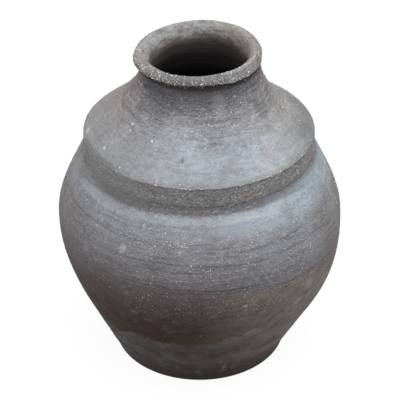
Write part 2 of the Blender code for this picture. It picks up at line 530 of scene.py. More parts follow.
# Each crease: height, left end and right end in degrees, depth
CREASES = (
    (0.1383, -36.0, 70.0, 0.00030),
    (0.1473, -10.0, 60.0, 0.00026),
    (0.1195, -46.0, 20.0, 0.00032),
    (0.1440, 2.0, 16.0, 0.00018),
    (0.1338, -26.0, 4.0, 0.00020),
    (0.1180, 8.0, 28.0, 0.00020),
    (0.1120, 24.0, 46.0, 0.00026),
    (0.1065, 4.0, 20.0, 0.00018),
    (0.1515, -75.0, -20.0, 0.00016),
    (0.1290, 95.0, 190.0, 0.00024),
    (0.1150, 140.0, 240.0, 0.00022),
    (0.1440, 200.0, 285.0, 0.00024),
)


def rings(turn, height):
    """Shallow finger rings that drift a little as they run round."""
    drift = wave(turn, height, 0.05)
    strength = 0.7 + 0.7 * wave(turn, height, 0.03, 5.0)
    broad = math.sin(math.tau * height / RING_SPACING + 2.5 * drift)
    fine = math.sin(math.tau * height / FINE_RING_SPACING + 4.0 * drift)
    return strength * (RING_HEIGHT * broad + FINE_RING_HEIGHT * fine)


def creased(turn, height):
    """How deep the creases are at a place, as (depth, share of a full crease)."""
    depth = 0.0
    share = 0.0
    for level, left, right, deep in CREASES:
        if abs(height - level) > CREASE_REACH:
            continue
        wander = CREASE_WANDER * wave(turn, level, 0.035, level * 900.0)
        wander += CREASE_WOBBLE * wave(turn, level, 0.011, 3.0)
        here = bell(height - wander, level, CREASE_WIDTH) * window(turn, left, right, CREASE_SOFTNESS)
        here *= 0.40 + 0.60 * smooth(wave(turn, level, 0.016, level * 700.0), -0.45, 0.25)
        depth += deep * here
        share = max(share, here)
    return depth, share


print("creases round the belly:", len(CREASES))

# %% Pressed clay
STRIP_RADIUS = 0.0885
STRIP_FOOT = 0.1702
STRIP_SAG = 0.0015
STRIP_LEDGE = 0.0045
STRIP_ARC = (-62.0, 48.0, 18.0)
GROOVE_DEPTH = 0.00026
GROOVE_WIDTH = 0.0022
SHALLOW_ARC = (-150.0, -34.0, 14.0)


def pressed_in(turn, radius, height):
    """How far the clay under the band is pushed in: a soft groove all round, and a strip at the front."""
    foot = STRIP_FOOT - STRIP_SAG * smooth(-math.sin(turn), 0.15, 0.60)
    share = min(max((height - foot) / STRIP_LEDGE + 1.0, 0.0), 1.0)
    strip = window(turn, *STRIP_ARC) * share**1.6
    groove = bell(height, BAND_FOOT[1], GROOVE_WIDTH) * (1.0 - 0.4 * window(turn, *SHALLOW_ARC))
    return strip * max(0.0, radius - STRIP_RADIUS) + GROOVE_DEPTH * groove


print("the pressed strip is", round(STRIP_LEDGE * 1000, 1), "mm high")

# %% [markdown]
# ## Grit and wear
#
# The clay is full of sand. Where it was scraped or squeezed, on the lip, the band and the ridge, the grains
# stand proud. Cells of a Voronoi pattern make good grains: each cell holds one lump, high in the middle. The
# ridge is chipped where grains fell out, and on the left it is worn soft.

# %% Lumps of grit
GRIT_SIZE = 0.0011
LUMP_REACH = 0.62
LIP_GRIT = 0.00026
LIP_FACE_LEVELS = (0.2540, 0.2552)
LIP_TOP_LEVELS = (0.2585, 0.2600)
LIP_EDGE_GRIT = 0.00034
LIP_EDGE_HEIGHT = 0.2548
LIP_EDGE_SPREAD = 0.0009
BAND_GRIT = 0.00022
BAND_BELT = ((0.1765, 0.1780), (0.1925, 0.1938))
STRIP_BELT = ((0.1690, 0.1705), (0.1760, 0.1770))
NECK_GRIT = 0.00012
NECK_BELT = ((0.2280, 0.2400), (0.2490, 0.2505))
RIDGE_HEIGHT = 0.1933
RIDGE_CHIP = 0.00045
CHIP_SPREAD = 0.0012


def lump(place):
    """0 between grains and 1 in the middle of one."""
    distances = noise.voronoi(place / GRIT_SIZE)[0]
    return max(0.0, 1.0 - distances[0] / LUMP_REACH)


def grit(place, turn, height):
    """How far grains stand out at a place, less the chips out of the ridge."""
    lip = smooth(height, *LIP_FACE_LEVELS) * (1.0 - 0.55 * smooth(height, *LIP_TOP_LEVELS))
    strip = belt(height, *STRIP_BELT) * window(turn, *STRIP_ARC)
    amount = LIP_GRIT * lip + LIP_EDGE_GRIT * bell(height, LIP_EDGE_HEIGHT, LIP_EDGE_SPREAD)
    amount += BAND_GRIT * (belt(height, *BAND_BELT) + 0.8 * strip) + NECK_GRIT * belt(height, *NECK_BELT)
    if amount < 1e-6:
        return 0.0
    near_ridge = bell(height, RIDGE_HEIGHT, CHIP_SPREAD)
    chip = RIDGE_CHIP * near_ridge * max(0.0, wave(turn, height, 0.0022, 21.0) + 0.15)
    return amount * lump(place) - chip


print("grains are about", GRIT_SIZE * 1000, "mm wide")

# %% The worn ridge
RIDGE_RADIUS = 0.0876
RIDGE_WEAR = 0.0011
RIDGE_SOFTNESS = 0.0029
WEAR_ARC = (-72.0, -42.0, 16.0)
WEAR_MIDDLE = (RIDGE_RADIUS - 0.00005, RIDGE_HEIGHT - 0.00037)
WEAR_BLUNTNESS = 0.0003


def ridge_worn(turn, radius, height):
    """How far the ridge is worn down: most at its crest, and only on the left."""
    apart = math.hypot(radius - WEAR_MIDDLE[0], height - WEAR_MIDDLE[1], WEAR_BLUNTNESS)
    return RIDGE_WEAR * math.exp(-apart / RIDGE_SOFTNESS) * window(turn, *WEAR_ARC)


print("the ridge is worn by up to", round(RIDGE_WEAR * 1000, 1), "mm")

# %% [markdown]
# ## Throwing a section
#
# `thrown` spins one outline into a closed section. The outline has an outer and an inner run, and each point
# carries two notes through the spin: which way the surface faces there, and whether it is outside. One spin
# of 640 steps would be slow, so we spin a narrow wedge and then spin copies of the wedge round the axis. The
# disc and the bowls have no fine edge, and 384 steps do for them.

# %% The spin
WEDGES = 16
FINE_STEPS = 40
COARSE_STEPS = 24


def facings(points):
    """The outward direction at each point of an outline that runs with the clay on its left."""
    result = []
    for index in range(len(points)):
        before = points[max(index - 1, 0)]
        after = points[min(index + 1, len(points) - 1)]
        across, up = after[0] - before[0], after[1] - before[1]
        length = math.hypot(across, up)
        result.append((up / length, -across / length))
    return result


def spun(outer, inner, steps):
    """A bmesh of the closed section, with its notes on every vertex."""
    form = bmesh.new()
    outside = form.verts.layers.float.new("outside")
    facing = form.verts.layers.float_vector.new("facing")
    points = []
    for run, side in ((outer, 1.0), (inner, 0.0)):
        for (radius, height), (across, up) in zip(run, facings(run)):
            point = form.verts.new((radius, 0.0, height))
            point[outside] = side
            point[facing] = (across, 0.0, up)
            points.append(point)
    edges = [form.edges.new(pair) for pair in zip(points, points[1:])]
    if outer[0][0] > 0.0:
        edges.append(form.edges.new((points[-1], points[0])))
    turning = {"cent": (0.0, 0.0, 0.0), "axis": (0.0, 0.0, 1.0)}
    wedge = math.tau / WEDGES
    bmesh.ops.spin(form, geom=points + edges, angle=wedge, steps=steps, **turning)
    whole_wedge = form.verts[:] + form.edges[:] + form.faces[:]
    rest = math.tau - wedge
    bmesh.ops.spin(form, geom=whole_wedge, angle=rest, steps=WEDGES - 1, use_duplicate=True, **turning)
    bmesh.ops.remove_doubles(form, verts=form.verts, dist=1e-6)
    bmesh.ops.recalc_face_normals(form, faces=form.faces)
    return form


print("steps round the axis:", WEDGES * FINE_STEPS, "or", WEDGES * COARSE_STEPS)

# %% [markdown]
# ## The hand on the clay
#
# After the spin, every vertex gets its marks. Two more notes stay on the mesh for the finish: `crease`,
# which the finish paints darker, and `level`, the height of the vertex before the vase leaned. Marks fade
# out towards the axis and at the foot, so that the underside stays flat.

# %% The hand
SWELL = 0.00035
INNER_SWELL = 0.0003
INNER_RINGS = 1.5
WALL_RADII = (0.030, 0.036)
STANDING_LEVELS = (0.0015, 0.008)
SLIMMER = 0.0006
SLIM_HEIGHT = 0.048
SLIM_SPREAD = 0.014
FULLER = 0.0009
FULLER_HEIGHT = 0.014
FULLER_SPREAD = 0.009
FULLER_ARC = (-125.0, -35.0, 25.0)
RIDGE_OUTWARD = 0.92
RIDGE_UPWARD = 0.39


def plumped(turn, height):
    """How much fuller the clay is than its outline: slim above the foot, and full at its left."""
    fuller = FULLER * window(turn, *FULLER_ARC) * bell(height, FULLER_HEIGHT, FULLER_SPREAD)
    return fuller - SLIMMER * bell(height, SLIM_HEIGHT, SLIM_SPREAD)


def touched(form):
    """Moves every vertex by the marks of the hand, and notes its creases and its level."""
    outside = form.verts.layers.float["outside"]
    facing = form.verts.layers.float_vector["facing"]
    crease = form.verts.layers.float.new("crease")
    level = form.verts.layers.float.new("level")
    for vertex in form.verts:
        place = vertex.co.copy()
        radius = math.hypot(place.x, place.y)
        turn = math.atan2(place.x, -place.y)
        height = place.z
        outward = Vector((math.sin(turn), -math.cos(turn), 0.0))
        way = outward * vertex[facing].x + Vector((0.0, 0.0, vertex[facing].z))
        wall = smooth(radius, *WALL_RADII)
        if vertex[outside] > 0.5:
            deep, vertex[crease] = creased(turn, height)
            swell = SWELL * wave(turn, height, 0.045, 9.0) + rings(turn, height)
            move = swell * smooth(height, *STANDING_LEVELS) * wall + (grit(place, turn, height) - deep)
            place += outward * plumped(turn, height) * wall
            place -= outward * pressed_in(turn, radius, height)
            ridge_way = outward * RIDGE_OUTWARD + Vector((0.0, 0.0, RIDGE_UPWARD))
            place -= ridge_way * ridge_worn(turn, radius, height)
        else:
            swell = INNER_SWELL * wave(turn, height, 0.04, 17.0) + INNER_RINGS * rings(turn, height)
            move = swell * wall
        vertex[level] = height
        if height > LIP_LEVELS[0]:
            place = lip_bent(place, outward, turn, vertex[outside])
        vertex.co = leaned(place + way * move)
    return form


print("swell of the outside and the inside in mm:", round(SWELL * 1000, 2), round(INNER_SWELL * 1000, 2))

# %% From outline to section
CLAY = "_clay"


def closed_seams_sharp(form):
    """Keeps the cut faces between the outside and the inside from rounding the edges they meet."""
    outside = form.verts.layers.float["outside"]
    for face in form.faces:
        sides = [vertex[outside] > 0.5 for vertex in face.verts]
        face.material_index = 0 if any(sides) else 1
        face.smooth = True
        if any(sides) and not all(sides):
            for edge in face.edges:
                ends = [vertex[outside] > 0.5 for vertex in edge.verts]
                if all(ends) or not any(ends):
                    edge.smooth = False


def thrown(name, outer, inner, steps=FINE_STEPS):
    """One finished section as an object at the origin."""
    form = touched(spun(outer, inner, steps))
    closed_seams_sharp(form)
    mesh = bpy.data.meshes.new(name)
    form.to_mesh(mesh)
    form.free()
    section = bpy.data.objects.new(name + CLAY, mesh)
    bpy.context.scene.collection.objects.link(section)
    print(name, "has", 2 * len(mesh.polygons), "triangles")
    return section


print("a section's name is its node's name and", CLAY)

# %% [markdown]
# ## The base disc
#
# The jar stands on a disc that was cut from the wheel with a wire. Its underside is flat, its edge is a
# little rounded from being handled while wet, and its floor is raised so that the wall sits round it.

# %% Base disc
FOOT_RADIUS = 0.0685
FOOT_ROUNDING = 0.0020
FLOOR_HEIGHT = 0.0105
rounding_centre = (FOOT_RADIUS - FOOT_ROUNDING, FOOT_ROUNDING)
disc_outer = chain(
    line((0.0, 0.0), (rounding_centre[0], 0.0), 26),
    arc(rounding_centre, FOOT_ROUNDING, -90.0, 0.0, 8),
    line((FOOT_RADIUS, FOOT_ROUNDING), FOOT_SEAM, 10),
)
disc_inner = chain(
    [FOOT_SEAM_IN],
    line((FOOT_SEAM_IN[0], FLOOR_HEIGHT), (0.0, FLOOR_HEIGHT), 14),
)
base_disc = thrown("base_disc", disc_outer, disc_inner, COARSE_STEPS)

# %% [markdown]
# ## The two bowls of the body
#
# The body is two bowls, luted rim to rim at the widest line. The lower one rises from the disc in one long
# sweep. The upper one closes in to the ledge that carries the shoulder.

# %% Lower and upper body
FOOT_SLOPE = 62.0
LEDGE = (0.0918, 0.1715)
LEDGE_SLOPE = 117.0
lower_outer = sweep(FOOT_SEAM, FOOT_SLOPE, BELLY_SEAM, UP, (0.045, 0.037), 120)
lower_inner = sweep(BELLY_SEAM_IN, DOWN, FOOT_SEAM_IN, FOOT_SLOPE + 180.0, (0.038, 0.045), 22)
lower_body = thrown("lower_body", lower_outer, lower_inner, COARSE_STEPS)

upper_outer = chain(
    sweep(BELLY_SEAM, UP, LEDGE, LEDGE_SLOPE, (0.016, 0.040), 92),
    line(LEDGE, BAND_FOOT, 18),
)
upper_inner = sweep(BAND_FOOT_IN, 290.0, BELLY_SEAM_IN, DOWN, (0.022, 0.022), 18)
upper_body = thrown("upper_body", upper_outer, upper_inner, COARSE_STEPS)

# %% [markdown]
# ## The shoulder cap
#
# The cap is what makes this jar: a low dome that breaks at a crisp ridge into a short upright band. The
# ridge is where the potter's rib stopped, so it is rounded by less than a millimetre and a little chipped.
# The hand wears it soft on the left.

# %% Shoulder cap
RIDGE_ROUNDING = 0.0006
RIDGE_UNDERCUT = 0.00008
RIDGE_LIP = 0.0016
DOME_SLOPE = 136.0
NECK_SEAM_SLOPE = 122.0
ridge_centre = (RIDGE_RADIUS - RIDGE_ROUNDING, RIDGE_HEIGHT - RIDGE_ROUNDING)
ridge = arc(ridge_centre, RIDGE_ROUNDING, 0.0, DOME_SLOPE - 90.0, 5)
under_ridge = (RIDGE_RADIUS - RIDGE_UNDERCUT, RIDGE_HEIGHT - RIDGE_LIP)
cap_outer = chain(
    line(BAND_FOOT, under_ridge, 33),
    line(under_ridge, ridge[0], 3),
    ridge,
    sweep(ridge[-1], DOME_SLOPE, NECK_SEAM, NECK_SEAM_SLOPE, (0.012, 0.020), 64),
)
cap_inner = sweep(NECK_SEAM_IN, NECK_SEAM_SLOPE + 180.0, BAND_FOOT_IN, 300.0, (0.014, 0.012), 18)
shoulder_cap = thrown("shoulder_cap", cap_outer, cap_inner)

# %% [markdown]
# ## Neck and lip
#
# The neck flares out of the dome and is narrowest just under the lip. The lip is a roll of clay turned
# outwards and pressed flat in front, so its lower edge is crisp and throws a dark line on the neck. Its
# inner side runs down into the mouth like a funnel, which is why it catches light at the back.

# %% Neck collar and rim roll
NECK_WAIST = (0.0451, 0.2475)
THROAT = (0.0368, 0.2410)
LIP_UNDER = (rim_high.x - 0.0017, rim_high.z - 0.0057)
LIP_CORNER = (rim_high.x + 0.0001, rim_high.z - 0.0049)
LIP_CREST = (rim_high.x - 0.0045, rim_high.z)
INWARD = 180.0
funnel = sweep(LIP_CREST, INWARD, THROAT, DOWN, (0.0035, 0.0100), 34)
mouth = [point for point in funnel if point[1] >= rim_low.z]
throat = funnel[len(mouth) - 1 :]
neck_outer = chain(
    sweep(NECK_SEAM, NECK_SEAM_SLOPE, NECK_WAIST, UP, (0.008, 0.009), 36),
    line(NECK_WAIST, RIM_SEAM, 10),
)
neck_inner = chain(
    throat,
    sweep(THROAT, DOWN, NECK_SEAM_IN, NECK_SEAM_SLOPE + 180.0, (0.006, 0.008), 14),
)
neck_collar = thrown("neck_collar", neck_outer, neck_inner)

rim_outer = chain(
    sweep(RIM_SEAM, UP, LIP_UNDER, 45.0, (0.0018, 0.0006), 12),
    sweep(LIP_UNDER, 15.0, LIP_CORNER, 80.0, (0.0010, 0.0004), 10),
    sweep(LIP_CORNER, 104.0, LIP_CREST, INWARD, (0.0030, 0.0022), 32),
)
rim_inner = mouth[1:]
rim_roll = thrown("rim_roll", rim_outer, rim_inner)

# %% [markdown]
# ## Sand grains
#
# The largest grains of sand stand out of the clay as pale beads, thickest on the lip and the band. A bump
# would show them from the front only, so the ones that can be seen singly are real: small rough balls, sunk
# to about half into the face that carries them. There are about six thousand, so each has only twenty faces.
# A seeded chooser picks the faces that carry them. The faces are sorted first, because the spin may leave
# them in another order at the next run.

# %% Grains
GRAIN_SQUASH = (1.0, 0.85, 0.7)
BARE_LEFT_ARC = (-95.0, -30.0, 16.0)
BARE_RIGHT_ARC = (46.0, 95.0, 16.0)
FULL_SAND_LEVELS = (0.230, 0.245)


def crowding(place):
    """How much sand the scraping laid bare: in drifts, and little on both flanks below the lip."""
    turn = math.atan2(place.x, -place.y)
    drifts = smooth(wave(turn, place.z, 0.018, 31.0) + 0.6 * wave(turn, place.z, 0.007, 33.0), -0.5, 0.6)
    flanks = 0.85 * window(turn, *BARE_LEFT_ARC) + 0.65 * window(turn, *BARE_RIGHT_ARC)
    return (1.0 - flanks * (1.0 - smooth(place.z, *FULL_SAND_LEVELS))) * (0.15 + drifts)


def handful(chooser, faces, sizes):
    """A mesh with one grain on each of the given faces."""
    form = bmesh.new()
    squashed = Matrix.Diagonal((*GRAIN_SQUASH, 1.0))
    for face in faces:
        radius = sizes[0] + (sizes[1] - sizes[0]) * chooser.random() ** 2
        turned = Matrix.Rotation(chooser.uniform(0.0, math.tau), 4, face.normal)
        sunk = Matrix.Translation(face.center + face.normal * radius * chooser.uniform(-0.3, 0.25))
        bmesh.ops.create_icosphere(form, subdivisions=1, radius=radius, matrix=sunk @ turned @ squashed)
    mesh = bpy.data.meshes.new("handful")
    form.to_mesh(mesh)
    form.free()
    return mesh


print("a grain is squashed to", GRAIN_SQUASH)

# %% Scatter grains
# A large bmesh takes new grains slowly, so they are made in small batches
BATCH = 60


def scattered(name, section, count, sizes, thickest, seed):
    """Grains on the outside of a section. `thickest` gives how crowded they are at a height."""
    chooser = random.Random(seed)
    faces = [face for face in section.data.polygons if face.material_index == 0]
    faces.sort(key=lambda face: [round(share, 6) for share in face.center])
    weights = [face.area * thickest(face.center.z) * crowding(face.center) for face in faces]
    mesh = bpy.data.meshes.new(name)
    for start in range(0, count, BATCH):
        form = bmesh.new()
        form.from_mesh(mesh)
        few = handful(chooser, chooser.choices(faces, weights, k=min(BATCH, count - start)), sizes)
        form.from_mesh(few)
        form.to_mesh(mesh)
        form.free()
        bpy.data.meshes.remove(few)
    piece = bpy.data.objects.new(name, mesh)
    bpy.context.scene.collection.objects.link(piece)
    print(name, "has", count, "grains")
    return piece


def peak(middle, spread, base=0.0):
    """Crowded about one height, and down to a base away from it."""
    return lambda height: base + bell(height, middle, spread)


# Slot, name, section, how many, smallest and largest radius, where they crowd and the seed
SANDED = (
    ("lip_clay", "lip_grit", rim_roll, 1250, (0.00028, 0.00072), peak(0.2556, 0.0022, 0.60), 11),
    ("dark_grey_clay", "neck_grit", neck_collar, 480, (0.00032, 0.00072), peak(0.234, 0.010), 12),
    ("pale_bloom_clay", "ridge_grit", shoulder_cap, 120, (0.00028, 0.00076), peak(RIDGE_HEIGHT, 0.0011), 13),
    ("pale_bloom_clay", "band_grit", shoulder_cap, 900, (0.00028, 0.00054), peak(0.1845, 0.0070), 14),
    ("pale_bloom_clay", "dome_grit", shoulder_cap, 460, (0.00028, 0.00070), peak(0.2180, 0.0120), 15),
    ("grey_clay", "belly_grit", upper_body, 2000, (0.00028, 0.00062), peak(0.1400, 0.0200, 0.24), 16),
    ("smoked_clay", "lower_grit", lower_body, 900, (0.00028, 0.00060), peak(0.1010, 0.0220, 0.06), 17),
)
grit_slots = [(scattered(*grains), slot_name) for slot_name, *grains in SANDED]

# %% [markdown]
# ## The clay's finish
#
# One kind of clay covers the whole outside, so one recipe makes it, and each section gets its own copy with
# its own marks. The fire coloured it by height and side: grey and pale above, scorched brown low down in
# front, and worn grey on the right and at the foot. A bluish sheen of the sky is painted into the colour in
# front and on the right shoulder, and light and shade are painted onto some sides. We could paint these
# zones by hand, but masks from the height and the side do it in a few lines. In every mask below, a height
# is in metres, and side and front run from -1 to 1.

# %% Where a point is
VASE_HEIGHT = cad_high.z
Spot = namedtuple("Spot", "place height side front")


def where(tree):
    """Object coordinates, the height, and how far to the right and to the front a point lies."""
    start = Wire(tree)
    place = start.node("ShaderNodeTexCoord", output="Object")
    flat = place.node("ShaderNodeVectorMath", {"operation": "MULTIPLY"}, {0: place, 1: (1.0, 1.0, 0.0)})
    outward = place.node("ShaderNodeVectorMath", {"operation": "NORMALIZE"}, {0: flat})
    side = place.node("ShaderNodeSeparateXYZ", {}, {"Vector": outward}, "X")
    height = place.node("ShaderNodeSeparateXYZ", {}, {"Vector": place}, "Z")
    return Spot(place, height, side, 0.0 - side.also("Y"))


def noted(place, name):
    """A note that was left on the mesh while it was thrown."""
    return place.node("ShaderNodeAttribute", {"attribute_name": name}, output="Fac")


def between(value, low, high, soft):
    """1 from low to high, fading out over `soft` on both sides."""
    return step(value, low - soft, low) * step(value, high + soft, high)


print("a finish reads:", ", ".join(Spot._fields))

# %% Colours of the fired clay
# Height in metres and the colour of the clay there, on the scorched front
GROUND = (
    (0.000, (0.054, 0.033, 0.028)),
    (0.066, (0.046, 0.021, 0.014)),
    (0.080, (0.071, 0.043, 0.038)),
    (0.096, (0.144, 0.113, 0.115)),
    (0.110, (0.232, 0.208, 0.215)),
    (0.126, (0.303, 0.292, 0.307)),
    (0.145, (0.328, 0.324, 0.342)),
    (0.156, (0.365, 0.365, 0.382)),
    (0.165, (0.395, 0.400, 0.420)),
    (0.174, (0.390, 0.398, 0.418)),
    (0.195, (0.368, 0.371, 0.377)),
    (0.214, (0.396, 0.392, 0.396)),
    (0.224, (0.345, 0.342, 0.352)),
    (0.234, (0.258, 0.254, 0.272)),
    (0.246, (0.182, 0.178, 0.192)),
)
BAND_GREY = (0.330, 0.324, 0.330, 1.0)
STRIP_BLUE = (0.320, 0.338, 0.362, 1.0)
STRIP_GREY = (0.385, 0.378, 0.384, 1.0)
# The next three colours are a painted bluish sheen: the sky reflected on the belly's ledge and on the dome
SKY_SHEEN = (0.530, 0.592, 0.650, 1.0)
DOME_SHEEN = (0.497, 0.535, 0.580, 1.0)
DOME_PALE_SHEEN = (0.490, 0.492, 0.500, 1.0)
WORN_GREY = (0.420, 0.388, 0.370, 1.0)
FOOT_GREY = (0.180, 0.176, 0.177, 1.0)
TIDE = (0.420, 0.402, 0.394, 1.0)
OLIVE = (0.348, 0.303, 0.272, 1.0)
SCORCH = (0.125, 0.094, 0.090, 1.0)
EARTH = (0.200, 0.142, 0.124, 1.0)
WARM_GREY = (0.372, 0.336, 0.316, 1.0)
EDGE_BROWN = (0.345, 0.308, 0.284, 1.0)
SOOT = (0.042, 0.028, 0.025, 1.0)
HAZE = (0.170, 0.160, 0.168, 1.0)
FOOT_STREAK = (0.260, 0.263, 0.272, 1.0)
# Dark for dirt in lines, pits and marks, and also used as painted shade under the lip, the band and the
# ridge
DIRT_AND_SHADE = (0.052, 0.040, 0.036, 1.0)
CREAM = (0.700, 0.660, 0.560, 1.0)
CHALK = (0.640, 0.675, 0.710, 1.0)
RUST = (0.330, 0.120, 0.060, 1.0)
# Bright grains with a painted white glint
WHITE_GLINT = (0.930, 0.950, 1.000, 1.0)

print("palest painted sheen:", SKY_SHEEN[:3], "soot:", SOOT[:3])

# %% [markdown]
# ## Zones of the fire, and painted sheen, light and shade
#
# A ramp gives the colour by height. Each function after it lays one kind of zone over the colour so far.
# Soft clouds disturb their borders, so that no edge is ruled, and all the zones share the same clouds.

# %% Ground colour, worn sides and scuffed foot
Patches = namedtuple("Patches", "drift drifting blotches mottles rightward")


def patched(at):
    """The clouds that the zones share, a height that drifts with them, and a mask for the right side."""
    drift = clouds(at.place, 0.045) - 0.5
    drifting = at.height + drift * 0.014
    blotches = clouds(at.place, 0.020, 3.0, 0.55)
    mottles = clouds(at.place, 0.0085, 3.0, 0.6)
    return Patches(drift, drifting, blotches, mottles, step(at.side + drift * 0.3, -0.05, 0.78))


def ground(at, patches):
    """The colour by height."""
    stops = [(level / VASE_HEIGHT, colour) for level, colour in GROUND]
    share = patches.drifting * (1.0 / VASE_HEIGHT)
    return at.place.node("ShaderNodeValToRGB", {"stops": stops}, {"Fac": share}, "Color")


def sides_worn(at, patches, colour):
    """Worn grey and olive low on the right, painted sheen on the belly above them, and a scorched front."""
    drift, drifting, side = patches.drift, patches.drifting, at.side
    far_right = step(side + drift * 0.3, 0.30, 0.80)
    worn = far_right * step(drifting, 0.140, 0.088) * (0.55 + patches.blotches * 0.6)
    colour = mixed(worn, colour, WORN_GREY)
    front_right = step(side + drift * 0.5, -0.10, 0.50) * step(side, 0.85, 0.60) * step(at.front, -0.2, 0.3)
    olive = front_right * between(drifting, 0.056, 0.104, 0.016)
    colour = mixed(olive * 0.75, colour, OLIVE)
    # painted sheen on the right of the belly
    right_belly_sheen = patches.rightward * between(drifting, 0.118, 0.150, 0.012)
    colour = mixed(right_belly_sheen * 0.2, colour, SKY_SHEEN)
    scorch = step(at.height + drift * 0.006, 0.1215, 0.1165) * step(at.height, 0.070, 0.092)
    scorch = scorch * step(side, 0.45, 0.05) * step(side, -0.75, -0.40)
    return mixed(scorch * 0.24, colour, SCORCH)


def foot_scuffed(at, patches, colour):
    """The grey zone above the foot, with a paler tide line along its top."""
    mottled = patches.mottles - 0.5
    side = at.side
    zone_top = 0.057 + step(side, 0.08, 0.38) * 0.014 + step(side, 0.40, 0.75) * 0.017
    zone_top = zone_top - step(side, -0.50, -0.72) * 0.010
    above = at.height - zone_top - patches.drift * 0.010 - mottled * 0.014
    cover = 0.55 + (patches.blotches - 0.5) * 1.3 + mottled * 1.5
    tide = between(above, -0.0045, -0.0010, 0.0022) * (0.40 + step(side, -0.10, 0.25) * 0.35)
    left_grey = tinted(FOOT_GREY, 1.0 + step(side, -0.10, -0.50) * 0.18)
    scuffed = mixed(patches.rightward, left_grey, WORN_GREY)
    colour = mixed(step(above, 0.0018, -0.0022) * cover + tide * 0.6, colour, scuffed)
    right_tide = between(above, -0.0060, -0.0012, 0.0020) * step(side, 0.14, 0.28) * step(side, 0.64, 0.45)
    return mixed(right_tide * step(patches.mottles, 0.34, 0.62) * 0.75, colour, TIDE)


print("ground colours by height:", len(GROUND))

# %% Painted sheen, and painted light and shade of the sides
def sheen_painted(at, patches, colour):
    """Painted bluish sheen on the ledge, mostly on the right, and on the dome's front facing the light."""
    height, side = at.height, at.side
    cover = patches.blotches + (patches.mottles - 0.5) * 0.7 + step(side, 0.60, 0.90) * 0.25
    # painted sheen on the ledge under the band, strongest on the right
    ledge = between(patches.drifting, 0.158, 0.1705, 0.010) * step(cover, 0.22, 0.66)
    colour = mixed(ledge * (0.18 + patches.rightward * 0.82), colour, SKY_SHEEN)
    # painted sheen on the dome where it faces the lamp
    facing_light = at.front * 0.92 + side * 0.39
    dome = step(height, 0.1935, 0.1965) * step(height, 0.228, 0.208) * step(facing_light, 0.36, 0.90)
    dome = dome * (0.65 + step(height, 0.197, 0.208) * 0.35)
    dome_sheen_colour = mixed(step(side, 0.55, 0.85), DOME_SHEEN, DOME_PALE_SHEEN)
    return mixed(dome * (0.50 + patches.blotches * 0.9), colour, dome_sheen_colour)


def sides_lit_and_shaded(at, patches, colour):
    """Painted shade and light on the dome and the neck, brown belly edges and warm flanks above."""
    height, side = at.height, at.side
    # painted shade on the far right of the dome, and painted light on the right of the neck
    shaded = step(side, 0.80, 0.97) * step(height, 0.185, 0.200) * step(height, 0.212, 0.202)
    lit_neck = step(side, 0.40, 0.80) * step(height, 0.214, 0.228)
    dome = step(height, 0.194, 0.198) * step(height, 0.226, 0.214)
    # painted shade across the dome's front, and painted light on its lower right
    dome_light_and_shade = between(side, 0.10, 0.46, 0.16) * 0.08 + between(side, -0.60, -0.30, 0.18) * 0.06
    dome_light_and_shade = dome_light_and_shade - between(side, 0.58, 0.80, 0.12) * step(height, 0.213, 0.206) * 0.10
    colour = tinted(colour, 1.0 - shaded * 0.28 + lit_neck * 0.28 - dome_light_and_shade * dome)
    far_sides = side.math("MAXIMUM", step(side, 0.72, 0.98), step(side, -0.72, -0.98))
    colour = mixed(far_sides * between(height, 0.105, 0.148, 0.016) * 0.45, colour, EDGE_BROWN)
    flank = step(at.front, 0.62, 0.25) * step(patches.drifting, 0.196, 0.220)
    return mixed(flank * (0.9 - step(side, 0.30, 0.60) * 0.35), colour, WARM_GREY)


ZONES = (sides_worn, foot_scuffed, sheen_painted, sides_lit_and_shaded)
print("zones over the ground colour:", ", ".join(zone.__name__ for zone in ZONES))

# %% [markdown]
# ## Lines, scrapes, dirt and painted shade
#
# On top of the zones come the traces of work: a scraped and gritty band, pale streaks where the foot was
# wiped, darker creases, fine wheel lines everywhere, and sand of two sizes. Shade is painted under the lip,
# in the groove under the band and under the ridge, and the band is painted lighter towards its sides. The
# sand is a Voronoi pattern in which only some cells hold a grain. On the left the ridge is worn, so the
# band's upper border is blurred there, and shade is painted above and below it.

# %% Band, foot and painted shade
BAND_FOOT_LEVELS = (0.1762, 0.1772)
STRIP_TOP_LEVELS = (0.1786, 0.1772)
BAND_TOP = 0.1932


def banded(at, colour):
    """The scraped band and the strip under it. Gives the colour, the scraped clay and the worn left."""
    height, side, front = at.height, at.side, at.front
    left = step(side, -0.30, -0.66)
    blur = left * 0.0050 + 0.0004
    band = step(height, *BAND_FOOT_LEVELS) * step(height - BAND_TOP - left * 0.0014, blur, 0.0 - blur)
    ragged = (clouds(at.place, 0.0060, 2.0) - 0.5) * 0.0016
    strip_foot = 0.1696 - step(side, -0.15, -0.60) * 0.0015 + (1.0 - front) * 0.0018
    softness = step(side, 0.20, 0.55) * 0.0046 + step(side, -0.45, -0.75) * 0.0030 + 0.0008
    strip = step(height + ragged - strip_foot, 0.0 - softness, softness) * step(height, *STRIP_TOP_LEVELS)
    strip_cover = strip * (0.85 - step(side, 0.18, 0.45) * 0.35)
    colour = mixed(strip_cover, colour, mixed(left, STRIP_BLUE, STRIP_GREY))
    front_strip = step(side, -0.80, -0.30) * step(side, 0.58, 0.28) * step(front, 0.0, 0.2)
    scraped = height.math("MAXIMUM", band, strip * front_strip)
    # the band is painted lighter towards its sides, where less light reaches it
    band_tone_and_light = 1.03 + (1.0 - front) * 0.35 + left * 0.08 + strip * 0.02
    colour = mixed(scraped, colour, tinted(BAND_GREY, band_tone_and_light))
    # painted shade above and below the worn ridge on the left
    left_ridge_shade = step(side, -0.60, -0.80) * step(height, 0.1976, 0.1928) * step(height, 0.1775, 0.1860)
    left_ridge_shade = left_ridge_shade * (0.4 + step(front, 0.05, 0.30) * 0.6)
    colour = tinted(colour, 1.0 - left_ridge_shade * (0.38 - step(height, 0.1938, 0.1918) * 0.31))
    return colour, scraped * (1.0 - left * 0.7), left


